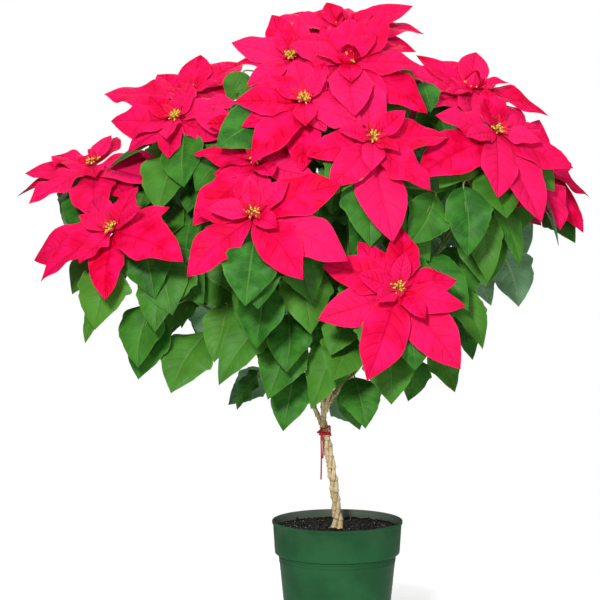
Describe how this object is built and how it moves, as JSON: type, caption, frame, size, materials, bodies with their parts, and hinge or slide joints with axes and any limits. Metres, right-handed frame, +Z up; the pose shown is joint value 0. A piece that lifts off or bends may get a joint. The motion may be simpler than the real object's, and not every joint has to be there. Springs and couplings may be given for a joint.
{
  "type": "potted poinsettia",
  "caption": "Poinsettia grown as a small tree: a twisted trunk in a round nursery pot, with a spreading head of drooping green leaves and red star-shaped blooms.",
  "frame": {"origin": "middle of the pot's underside, on the surface that it stands on", "axes": "+Z up along the pot's axis, -Y towards the plant's front, +X to the right as seen from the front"},
  "size_m": [0.8944, 0.7367, 0.9958],
  "materials": {
    "pot_plastic": "dark green moulded plastic, faintly satin",
    "potting_soil": "dark moist peat mix",
    "woody_stem": "pale tan bark, fissured lengthwise",
    "red_tie": "red plant tie",
    "green_leaf": "mid-green leaf, paler veins and underside",
    "red_bract": "velvety pinkish-red bract",
    "yellow_cup": "waxy yellow-green flower cup"
  },
  "bodies": {
    "root": {"bloom_back_left": "red_bract", "bloom_back_low": "red_bract", "bloom_back_middle": "red_bract", "bloom_back_right": "red_bract", "bloom_behind_middle": "red_bract", "bloom_centre": "red_bract", "bloom_crown": "red_bract", "bloom_crown_front": "red_bract", "bloom_crown_left": "red_bract", "bloom_far_left": "red_bract", "bloom_far_right": "red_bract", "bloom_high_back": "red_bract", "bloom_high_back_right": "red_bract", "bloom_high_front": "red_bract", "bloom_high_left": "red_bract", "bloom_high_right": "red_bract", "bloom_left_front": "red_bract", "bloom_low_front": "red_bract", "bloom_middle_front": "red_bract", "bloom_right_front": "red_bract", "bloom_small_left": "red_bract", "bloom_upper_left": "red_bract", "cups_back_left": "yellow_cup", "cups_back_low": "yellow_cup", "cups_back_middle": "yellow_cup", "cups_back_right": "yellow_cup", "cups_behind_middle": "yellow_cup", "cups_centre": "yellow_cup", "cups_crown": "yellow_cup", "cups_crown_front": "yellow_cup", "cups_crown_left": "yellow_cup", "cups_far_left": "yellow_cup", "cups_far_right": "yellow_cup", "cups_high_back": "yellow_cup", "cups_high_back_right": "yellow_cup", "cups_high_front": "yellow_cup", "cups_high_left": "yellow_cup", "cups_high_right": "yellow_cup", "cups_left_front": "yellow_cup", "cups_low_front": "yellow_cup", "cups_middle_front": "yellow_cup", "cups_right_front": "yellow_cup", "cups_small_left": "yellow_cup", "cups_upper_left": "yellow_cup", "limb_back": "green_leaf", "limb_back_right": "green_leaf", "limb_front": "green_leaf", "limb_front_right": "green_leaf", "limb_left": "green_leaf", "limb_left_back": "green_leaf", "limb_left_front": "green_leaf", "limb_right": "green_leaf", "pot": "pot_plastic", "soil": "potting_soil", "stem_1": "woody_stem", "stem_2": "woody_stem", "stem_3": "woody_stem", "tie": "red_tie", "tie_end_long": "red_tie", "tie_end_short": "red_tie"}
  },
  "joints": []
}
